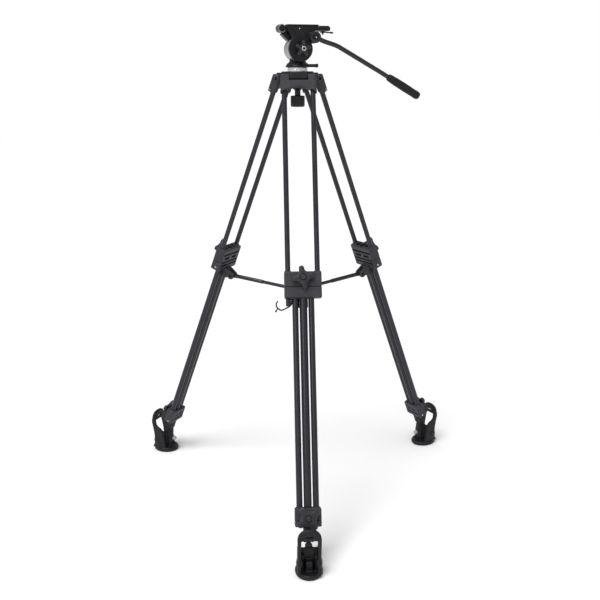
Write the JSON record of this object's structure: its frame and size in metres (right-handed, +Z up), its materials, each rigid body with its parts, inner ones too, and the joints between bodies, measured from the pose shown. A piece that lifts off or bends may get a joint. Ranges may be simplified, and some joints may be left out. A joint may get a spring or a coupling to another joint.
{
  "type": "tripod with fluid head",
  "caption": "Twin-tube video tripod with mid-level spreader, levelling half ball and a fluid pan and tilt head with plate and pan handle",
  "frame": {"origin": "On the floor, below the middle of the bounding box of the standing tripod", "axes": "+Z up; -Y along the front leg; +X to the right leg's side"},
  "size_m": [0.9844, 0.8525, 1.3511],
  "materials": {
    "black_anodised": "black anodised tube, satin",
    "grey_casting": "textured dark grey powder coat",
    "silver_casting": "fine silver grey coat",
    "black_casting": "satin black coat",
    "black_rubber": "matte moulded rubber",
    "knob_plastic": "fine textured black plastic",
    "dark_steel": "blackened steel"
  },
  "bodies": {
    "crown": {"crown": "grey_casting"},
    "front_leg": {"front_leg_yoke": "grey_casting", "front_upper_tube_a": "black_anodised", "front_upper_tube_b": "black_anodised", "front_mid_clamp": "grey_casting", "leg_clip": "dark_steel"},
    "front_mid_knob": {"front_mid_knob": "knob_plastic"},
    "front_mid_stage": {"front_mid_tube_a": "black_anodised", "front_mid_tube_b": "black_anodised", "front_lower_clamp": "grey_casting"},
    "front_lower_knob": {"front_lower_knob": "knob_plastic"},
    "front_lower_stage": {"front_lower_tube": "black_anodised", "front_foot_fork": "grey_casting"},
    "front_foot": {"front_foot_pad": "black_rubber"},
    "front_arm_tube": {"front_arm_tube": "black_anodised"},
    "front_arm_rod": {"front_arm_rod": "black_anodised"},
    "hub": {"spreader_hub": "knob_plastic"},
    "right_leg": {"right_leg_yoke": "grey_casting", "right_upper_tube_a": "black_anodised", "right_upper_tube_b": "black_anodised", "right_mid_clamp": "grey_casting"},
    "right_mid_knob": {"right_mid_knob": "knob_plastic"},
    "right_mid_stage": {"right_mid_tube_a": "black_anodised", "right_mid_tube_b": "black_anodised", "right_lower_clamp": "grey_casting"},
    "right_lower_knob": {"right_lower_knob": "knob_plastic"},
    "right_lower_stage": {"right_lower_tube": "black_anodised", "right_foot_fork": "grey_casting"},
    "right_foot": {"right_foot_pad": "black_rubber"},
    "right_arm_tube": {"right_arm_tube": "black_anodised"},
    "right_arm_rod": {"right_arm_rod": "black_anodised"},
    "left_leg": {"left_leg_yoke": "grey_casting", "left_upper_tube_a": "black_anodised", "left_upper_tube_b": "black_anodised", "left_mid_clamp": "grey_casting"},
    "left_mid_knob": {"left_mid_knob": "knob_plastic"},
    "left_mid_stage": {"left_mid_tube_a": "black_anodised", "left_mid_tube_b": "black_anodised", "left_lower_clamp": "grey_casting"},
    "left_lower_knob": {"left_lower_knob": "knob_plastic"},
    "left_lower_stage": {"left_lower_tube": "black_anodised", "left_foot_fork": "grey_casting"},
    "left_foot": {"left_foot_pad": "black_rubber"},
    "left_arm_tube": {"left_arm_tube": "black_anodised"},
    "left_arm_rod": {"left_arm_rod": "black_anodised"},
    "bowl_washer": {"clamp_washer": "dark_steel"},
    "half_ball": {"half_ball": "silver_casting", "pan_base": "black_casting"},
    "bowl_knob": {"clamp_knob": "knob_plastic"},
    "pan_lever": {"pan_lever": "knob_plastic"},
    "head": {"head_body": "silver_casting"},
    "cradle": {"cradle": "black_casting"},
    "tilt_knob": {"tilt_knob": "knob_plastic"},
    "plate": {"camera_plate": "black_casting"},
    "camera_screw": {"camera_screw": "dark_steel"},
    "plate_lock_knob": {"plate_lock_knob": "knob_plastic"},
    "release_lever": {"release_lever": "knob_plastic"},
    "handle": {"handle_rod": "black_anodised", "handle_grip": "black_rubber"},
    "handle_screw": {"handle_screw": "dark_steel"}
  },
  "joints": [
    {"name": "front_leg_fold", "type": "hinge", "parent": "crown", "child": "front_leg", "pos_m": [0, 0.0855, 1.209], "axis": [1, 0, 0], "range_deg": [0, 8]},
    {"name": "front_mid_knob_turn", "type": "hinge", "parent": "front_leg", "child": "front_mid_knob", "pos_m": [0, -0.12881, 0.70768], "axis": [0, -0.93, 0.3676], "continuous": true},
    {"name": "front_mid_stage_slide", "type": "slide", "parent": "front_leg", "child": "front_mid_stage", "axis": [0, 0.3676, 0.93], "range_m": [0, 0.42]},
    {"name": "front_lower_knob_turn", "type": "hinge", "parent": "front_mid_stage", "child": "front_lower_knob", "pos_m": [0, -0.35381, 0.13854], "axis": [0, -0.93, 0.3676], "continuous": true},
    {"name": "front_lower_stage_slide", "type": "slide", "parent": "front_mid_stage", "child": "front_lower_stage", "axis": [0, -0.3676, -0.93], "range_m": [0, 0.42]},
    {"name": "front_foot_pivot", "type": "hinge", "parent": "front_lower_stage", "child": "front_foot", "pos_m": [0, -0.35936, 0.0837], "axis": [1, 0, 0], "range_deg": [-10, 20]},
    {"name": "front_arm_fold", "type": "hinge", "parent": "front_leg", "child": "front_arm_tube", "pos_m": [0, -0.10009, 0.63073], "axis": [1, 0, 0], "range_deg": [-1.54, 0]},
    {"name": "front_arm_slide", "type": "slide", "parent": "front_arm_tube", "child": "front_arm_rod", "axis": [0, -0.9963, 0.0863], "range_m": [0, 0.08319]},
    {"name": "hub_pivot", "type": "hinge", "parent": "front_arm_rod", "child": "hub", "pos_m": [0, 0.10454, 0.61301], "axis": [1, 0, 0], "range_deg": [-6.86, 0]},
    {"name": "right_leg_fold", "type": "hinge", "parent": "crown", "child": "right_leg", "pos_m": [0.03551, 0.147, 1.209], "axis": [-0.5, 0.866, 0], "range_deg": [0, 8]},
    {"name": "right_mid_knob_turn", "type": "hinge", "parent": "right_leg", "child": "right_mid_knob", "pos_m": [0.22111, 0.25416, 0.70768], "axis": [0.8054, 0.465, 0.3676], "continuous": true},
    {"name": "right_mid_stage_slide", "type": "slide", "parent": "right_leg", "child": "right_mid_stage", "axis": [-0.3184, -0.1838, 0.93], "range_m": [0, 0.42]},
    {"name": "right_lower_knob_turn", "type": "hinge", "parent": "right_mid_stage", "child": "right_lower_knob", "pos_m": [0.41596, 0.36665, 0.13854], "axis": [0.8054, 0.465, 0.3676], "continuous": true},
    {"name": "right_lower_stage_slide", "type": "slide", "parent": "right_mid_stage", "child": "right_lower_stage", "axis": [0.3184, 0.1838, -0.93], "range_m": [0, 0.42]},
    {"name": "right_foot_pivot", "type": "hinge", "parent": "right_lower_stage", "child": "right_foot", "pos_m": [0.42076, 0.36943, 0.0837], "axis": [-0.5, 0.866, 0], "range_deg": [-10, 20]},
    {"name": "right_arm_fold", "type": "hinge", "parent": "right_leg", "child": "right_arm_tube", "pos_m": [0.19623, 0.2398, 0.63073], "axis": [-0.5, 0.866, 0], "range_deg": [-1.54, 0]},
    {"name": "right_arm_slide", "type": "slide", "parent": "right_arm_tube", "child": "right_arm_rod", "axis": [0.8628, 0.4981, 0.0863], "range_m": [0, 0.08319]},
    {"name": "left_leg_fold", "type": "hinge", "parent": "crown", "child": "left_leg", "pos_m": [-0.03551, 0.147, 1.209], "axis": [-0.5, -0.866, 0], "range_deg": [0, 8]},
    {"name": "left_mid_knob_turn", "type": "hinge", "parent": "left_leg", "child": "left_mid_knob", "pos_m": [-0.22111, 0.25416, 0.70768], "axis": [-0.8054, 0.465, 0.3676], "continuous": true},
    {"name": "left_mid_stage_slide", "type": "slide", "parent": "left_leg", "child": "left_mid_stage", "axis": [0.3184, -0.1838, 0.93], "range_m": [0, 0.42]},
    {"name": "left_lower_knob_turn", "type": "hinge", "parent": "left_mid_stage", "child": "left_lower_knob", "pos_m": [-0.41596, 0.36665, 0.13854], "axis": [-0.8054, 0.465, 0.3676], "continuous": true},
    {"name": "left_lower_stage_slide", "type": "slide", "parent": "left_mid_stage", "child": "left_lower_stage", "axis": [-0.3184, 0.1838, -0.93], "range_m": [0, 0.42]},
    {"name": "left_foot_pivot", "type": "hinge", "parent": "left_lower_stage", "child": "left_foot", "pos_m": [-0.42076, 0.36943, 0.0837], "axis": [-0.5, -0.866, 0], "range_deg": [-10, 20]},
    {"name": "left_arm_fold", "type": "hinge", "parent": "left_leg", "child": "left_arm_tube", "pos_m": [-0.19623, 0.2398, 0.63073], "axis": [-0.5, -0.866, 0], "range_deg": [-1.54, 0]},
    {"name": "left_arm_slide", "type": "slide", "parent": "left_arm_tube", "child": "left_arm_rod", "axis": [-0.8628, 0.4981, 0.0863], "range_m": [0, 0.08319]},
    {"name": "level_roll", "type": "hinge", "parent": "crown", "child": "bowl_washer", "pos_m": [0, 0.1265, 1.2285], "axis": [1, 0, 0], "range_deg": [-8, 8]},
    {"name": "level_pitch", "type": "hinge", "parent": "bowl_washer", "child": "half_ball", "pos_m": [0, 0.1265, 1.2285], "axis": [0, 1, 0], "range_deg": [-8, 8]},
    {"name": "bowl_knob_turn", "type": "hinge", "parent": "half_ball", "child": "bowl_knob", "pos_m": [0, 0.1265, 1.2285], "axis": [0, 0, 1], "continuous": true},
    {"name": "pan_lever_turn", "type": "hinge", "parent": "half_ball", "child": "pan_lever", "pos_m": [0.01579, 0.09741, 1.2434], "axis": [0.4772, -0.8788, 0], "range_deg": [-8, 12]},
    {"name": "pan", "type": "hinge", "parent": "half_ball", "child": "head", "pos_m": [0, 0.1265, 1.25], "axis": [0, 0, 1], "continuous": true},
    {"name": "tilt", "type": "hinge", "parent": "head", "child": "cradle", "pos_m": [0, 0.1265, 1.2867], "axis": [0.2334, -0.9724, 0], "range_deg": [-45, 72]},
    {"name": "tilt_knob_turn", "type": "hinge", "parent": "cradle", "child": "tilt_knob", "pos_m": [0.00817, 0.09247, 1.2867], "axis": [0.2334, -0.9724, 0], "continuous": true},
    {"name": "plate_lift", "type": "slide", "parent": "cradle", "child": "plate", "axis": [0, 0, 1], "range_m": [0, 0.012]},
    {"name": "camera_screw_rise", "type": "slide", "parent": "plate", "child": "camera_screw", "axis": [0, 0, 1], "range_m": [0, 0.005]},
    {"name": "plate_lock_turn", "type": "hinge", "parent": "cradle", "child": "plate_lock_knob", "pos_m": [-0.04521, 0.11564, 1.34], "axis": [0.2334, -0.9724, 0], "continuous": true},
    {"name": "release_lever_turn", "type": "hinge", "parent": "cradle", "child": "release_lever", "pos_m": [0.07001, 0.14331, 1.3312], "axis": [0, 0, 1], "range_deg": [-30, 30]},
    {"name": "handle_angle", "type": "hinge", "parent": "cradle", "child": "handle", "pos_m": [0.04564, 0.08676, 1.3158], "axis": [-0.2334, 0.9724, 0], "range_deg": [-60, 20]},
    {"name": "handle_screw_turn", "type": "hinge", "parent": "cradle", "child": "handle_screw", "pos_m": [0.04734, 0.07966, 1.3158], "axis": [0.2334, -0.9724, 0], "continuous": true}
  ],
  "couplings": [
    {"joint": "front_arm_fold", "follows": "front_leg_fold", "ratio": -0.16748},
    {"joint": "front_arm_slide", "follows": "front_leg_fold", "m_per_rad": 0.59435},
    {"joint": "hub_pivot", "follows": "front_leg_fold", "ratio": -0.83252},
    {"joint": "right_leg_fold", "follows": "front_leg_fold", "ratio": 1},
    {"joint": "right_arm_fold", "follows": "front_leg_fold", "ratio": -0.16748},
    {"joint": "right_arm_slide", "follows": "front_leg_fold", "m_per_rad": 0.59435},
    {"joint": "left_leg_fold", "follows": "front_leg_fold", "ratio": 1},
    {"joint": "left_arm_fold", "follows": "front_leg_fold", "ratio": -0.16748},
    {"joint": "left_arm_slide", "follows": "front_leg_fold", "m_per_rad": 0.59435}
  ]
}
